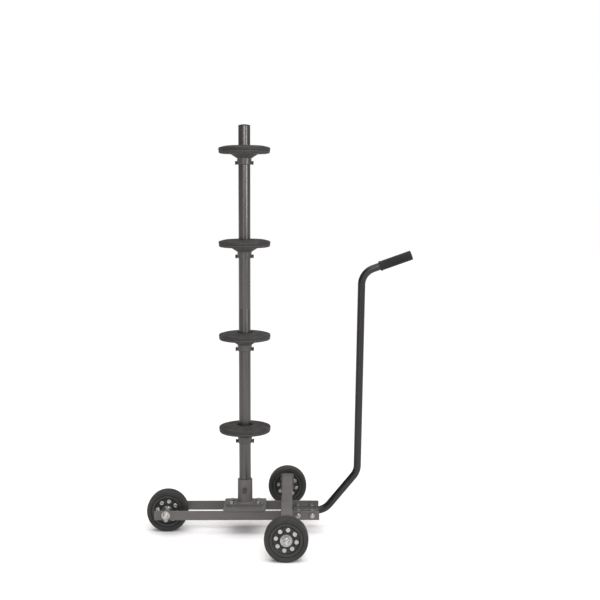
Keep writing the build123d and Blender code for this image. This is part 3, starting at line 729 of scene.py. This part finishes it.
def make_bolts():
    """The pole socket's four bolts and nuts, its lock bolt, and the handle's two bolts and nuts."""
    low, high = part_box("socket_bolts")
    nut_low, nut_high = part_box("socket_nuts")
    middle = centre("socket_bolts")
    bolts, nuts = bmesh.new(), bmesh.new()
    for k, (across, along) in enumerate(((-1, -1), (-1, 1), (1, -1), (1, 1))):
        x, y = middle.x + across * SOCKET_BOLT_X, along * SOCKET_BOLT_Y
        m8_screw(bolts, (x, y, high.z), UP, high.z - low.z, 9 * MM, 0.5 * k)
        hexagon(nuts, stand((x, y, nut_high.z), -UP, 0.4 * k), M8["flats"], M8["nut"], hole=4.05 * MM,
                collar=nut_high.z - nut_low.z - M8["nut"])
    stands_for(bolts, "socket_hex_bolts", "socket_bolts")
    stands_for(nuts, "socket_lock_nuts", "socket_nuts")

    low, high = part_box("pole_lock_bolt")
    middle = centre("pole_lock_bolt")
    bm = bmesh.new()
    m8_screw(bm, (middle.x, low.y, middle.z), (0, -1, 0), high.y - low.y, 4 * MM, 0.2)
    stands_for(bm, "pole_lock_screw", "pole_lock_bolt")

    low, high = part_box("handle_bolts")
    nut_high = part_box("handle_nuts")[1]
    z = centre("handle_bolts").z
    corner_r = M8["flats"] / math.sqrt(3)
    bolts, nuts = bmesh.new(), bmesh.new()
    for k, x in enumerate((low.x + corner_r, high.x - corner_r)):
        m8_screw(bolts, (x, high.y, z), (0, 1, 0), high.y - low.y, 10 * MM, 0.6 * k)
        hexagon(nuts, stand((x, nut_high.y, z), (0, -1, 0), 0.3 + k), M8["flats"], M8["nut"], hole=4.05 * MM,
                collar=1.5 * MM)
    stands_for(bolts, "handle_hex_bolts", "handle_bolts")
    stands_for(nuts, "handle_lock_nuts", "handle_nuts")


# ------------------------------------------------------------------ handle

HANDLE_BEND = 50 * MM
TUBE_R, TUBE_WALL = 10.65 * MM, 2 * MM
UPRIGHT_OUT, UPRIGHT_Z, UPRIGHT_LEAN = 331 * MM, 608 * MM, math.radians(1.2)
KNEE_Z, FOOT_RISE = 170.5 * MM, math.radians(50)
TIP_OUT, TIP_Z, GRIP_RISE = 475.2 * MM, 792.6 * MM, math.radians(19.5)
GRIP_LENGTH, GRIP_R, GRIP_END, GRIP_RIBS = 96 * MM, 13.6 * MM, 6 * MM, 34


def bent_route(points, radius, steps=28):
    """Points and directions along a route of straight runs joined by arcs of one radius."""
    stops = [(points[0], (points[1] - points[0]).normalized())]
    for before, corner, after in zip(points, points[1:], points[2:]):
        into, out = (corner - before).normalized(), (after - corner).normalized()
        bend = into.angle(out)
        start = corner - into * radius * math.tan(bend / 2)
        inward = (out - into * out.dot(into)).normalized()
        for k in range(steps + 1):
            a = bend * k / steps
            stops.append((start + into * radius * math.sin(a) + inward * radius * (1 - math.cos(a)),
                          into * math.cos(a) + inward * math.sin(a)))
    stops.append((points[-1], (points[-1] - points[-2]).normalized()))
    return stops


def make_handle(pole_x):
    """The bent tube, its end plug, and the rubber grip."""
    grip_way = Vector((math.cos(GRIP_RISE), 0, math.sin(GRIP_RISE)))
    tip = Vector((pole_x + TIP_OUT, 0, TIP_Z))
    bar_z = centre("near_side_bar").z
    lean, slope = math.tan(UPRIGHT_LEAN), math.tan(GRIP_RISE)
    upright_x = pole_x + UPRIGHT_OUT
    knee_x = upright_x + (KNEE_Z - UPRIGHT_Z) * lean
    foot_x = knee_x - (KNEE_Z - bar_z) / math.tan(FOOT_RISE)
    elbow_z = (tip.z - slope * (tip.x - upright_x + UPRIGHT_Z * lean)) / (1 - slope * lean)
    elbow_x = upright_x + (elbow_z - UPRIGHT_Z) * lean
    start_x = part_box("handle_tube")[0].x
    corners = [Vector((start_x, 0, bar_z)), Vector((foot_x, 0, bar_z)), Vector((knee_x, 0, KNEE_Z)),
               Vector((elbow_x, 0, elbow_z)), tip - grip_way * GRIP_END]
    outer, inner = [], []
    across = Vector((0, 1, 0))
    count = 64
    for point, way in bent_route(corners, HANDLE_BEND):
        normal = way.cross(across)
        for rings, radius in ((outer, TUBE_R), (inner, TUBE_R - TUBE_WALL)):
            rings.append([point + (across * math.cos(a) + normal * math.sin(a)) * radius
                          for a in (math.tau * k / count for k in range(count))])
    bm = bmesh.new()
    loft(bm, Matrix.Identity(4), outer + inner[::-1], closed=True)
    stands_for(bm, "handle_bent_tube", "handle_tube", sharp=50.0)

    length, radius = GRIP_LENGTH, GRIP_R
    outline = [(0, TUBE_R), (0, radius - 0.4 * MM), (0.5 * MM, radius + 0.5 * MM),
               (1.4 * MM, radius + 0.8 * MM),
               (4.4 * MM, radius + 0.8 * MM), (5.4 * MM, radius + 0.4 * MM), (6.2 * MM, radius - 0.35 * MM),
               (7.4 * MM, radius - 0.35 * MM), (8.2 * MM, radius)]
    first, last = 11 * MM, length - 12 * MM
    pitch = (last - first) / GRIP_RIBS
    for k in range(GRIP_RIBS):
        at = first + k * pitch
        outline += [(at, radius + 0.05 * MM), (at + 0.2 * pitch, radius - 0.22 * MM),
                    (at + 0.4 * pitch, radius - 0.22 * MM), (at + 0.6 * pitch, radius + 0.05 * MM)]
    outline += [(last, radius), (length - 2.4 * MM, radius), (length - 1.0 * MM, radius - 0.4 * MM),
                (length - 0.2 * MM, radius - 1.3 * MM), (length, radius - 2.6 * MM), (length, 2.6 * MM),
                (length - 0.8 * MM, 2.0 * MM), (length - 0.8 * MM, 0)]
    bm = bmesh.new()
    lathe(bm, stand(tip - grip_way * length, grip_way), outline, closed=False, count=96)
    stands_for(bm, "handle_rubber_grip", "handle_grip", sharp=45.0)

    low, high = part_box("handle_plug")
    brim, plug, depth = 2 * MM, TUBE_R - TUBE_WALL - 0.1 * MM, high.x - low.x
    outline = [(0, 0), (0, TUBE_R - 1.6 * MM), (0.5 * MM, TUBE_R - 0.6 * MM), (1.3 * MM, TUBE_R),
               (brim, TUBE_R), (brim, plug), (depth - 1 * MM, plug), (depth, plug - 1 * MM), (depth, 0)]
    bm = bmesh.new()
    lathe(bm, stand((low.x, 0, bar_z), (1, 0, 0)), outline, closed=False, count=72)
    stands_for(bm, "handle_end_plug", "handle_plug")


# ------------------------------------------------------------------ weld beads


def bead(bm, start, end, first, second, size=3.2 * MM):
    """A rippled fillet weld along a line, in the corner between two faces that run along first and second."""
    start, end = Vector(start), Vector(end)
    first, second = Vector(first), Vector(second)
    run = end - start
    ripples = max(3, int(run.length / (1.7 * MM)))
    per = 4
    total = ripples * per
    rings = []
    for k in range(total + 1):
        fade = min(1.0, 0.35 + 3.0 * min(k, total - k) / total * ripples / 6)
        swell = size * fade * (1.0 + 0.10 * math.sin(math.pi * (k % per) / per) + 0.05 * math.sin(k * 0.9))
        spot = start + run * (k / total)
        arc = [(1.0, 0.0), (0.80, 0.30), (0.58, 0.58), (0.30, 0.80), (0.0, 1.0)]
        rings.append([spot] + [spot + (first * u + second * v) * swell for u, v in arc])
    rings = [[sum(rings[0], Vector()) / 6]] + rings + [[sum(rings[-1], Vector()) / 6]]
    loft(bm, Matrix.Identity(4), rings)


def make_welds():
    """Fillet welds that join bars, beam, axle plates, base plate and pole socket."""
    plate_low, plate_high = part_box("base_plate")
    beam_low, beam_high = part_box("cross_beam")
    bar_low, bar_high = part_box("near_side_bar")
    inner, outer, top = -bar_high.y, -bar_low.y, bar_high.z
    bm = bmesh.new()
    for side in (-1, 1):
        for y, way in ((outer, side), (inner, -side)):
            bead(bm, (plate_low.x + 8 * MM, side * y, top), (plate_high.x - 8 * MM, side * y, top),
                 (0, way, 0), (0, 0, -1), 2.8 * MM)
            bead(bm, (beam_low.x + 1 * MM, side * y, top), (beam_high.x - 1 * MM, side * y, top),
                 (0, way, 0), (0, 0, -1), 3.0 * MM)
        for x, way in ((beam_low.x + 2 * MM, -1), (beam_high.x - 2 * MM, 1)):
            bead(bm, (x, side * inner, top), (x, side * outer, top), (way, 0, 0), (0, 0, 1), 4.4 * MM)
        face = side * beam_high.y
        for x, way in ((beam_low.x, -1), (beam_high.x, 1)):
            bead(bm, (x, face, beam_low.z + 3 * MM), (x, face, beam_high.z - 3 * MM),
                 (way, 0, 0), (0, -side, 0), 3.2 * MM)
        bead(bm, (beam_low.x + 3 * MM, face, beam_low.z), (beam_high.x - 3 * MM, face, beam_low.z),
             (0, 0, -1), (0, -side, 0), 3.2 * MM)
    piece(bm, "base_welds", ["near_side_bar"], sharp=60.0)

    flange_top = plate_high.z + 6 * MM
    tube_r = 21.05 * MM
    count = 180
    rings = []
    for out, rise in ((-0.5, -0.5), (3.4, -0.5), (3.3, 0.3), (2.5, 1.2), (1.6, 2.0), (0.6, 3.2), (-0.5, 3.4)):
        ring = []
        for k in range(count):
            a = math.tau * k / count
            swell = 1.0 + 0.09 * abs(math.sin(a * 38)) + 0.04 * math.sin(a * 5)
            radius = tube_r + max(out, -0.5) * MM * swell
            ring.append((radius * math.cos(a), radius * math.sin(a), flange_top + rise * MM * swell))
        rings.append(ring)
    bm = bmesh.new()
    loft(bm, stand((centre("pole_socket").x, 0, 0), UP), rings, closed=True)
    piece(bm, "socket_weld", ["pole_socket"], sharp=60.0)


# ------------------------------------------------------------------ floor


def make_floor():
    """The floor the stand rests on, wide enough for its edge to be out of sight."""
    corners = [(x * FLOOR_REACH, y * FLOOR_REACH, 0) for x, y in ((-1, -1), (1, -1), (1, 1), (-1, 1))]
    mesh = bpy.data.meshes.new("floor")
    mesh.from_pydata(corners, [], [(0, 1, 2, 3)])
    mesh.materials.append(make_floor_material())
    floor = bpy.data.objects.new("floor", mesh)
    bpy.context.scene.collection.objects.link(floor)


# ------------------------------------------------------------------ putting it together

make_camera()
make_studio(pole_axis_x)

for node, cad_piece in frame["nodes"].items():
    cad_piece.data.materials.clear()
    cad_piece.data.materials.append(materials[slots[node]])

make_pole()
for number in range(1, 5):
    make_disc(number)
make_wheel("tail_wheel", -1)
make_wheel("near_wheel", -1)
make_wheel("far_wheel", 1)
make_axles()
make_bolts()
make_handle(pole_axis_x)
make_welds()

make_floor()
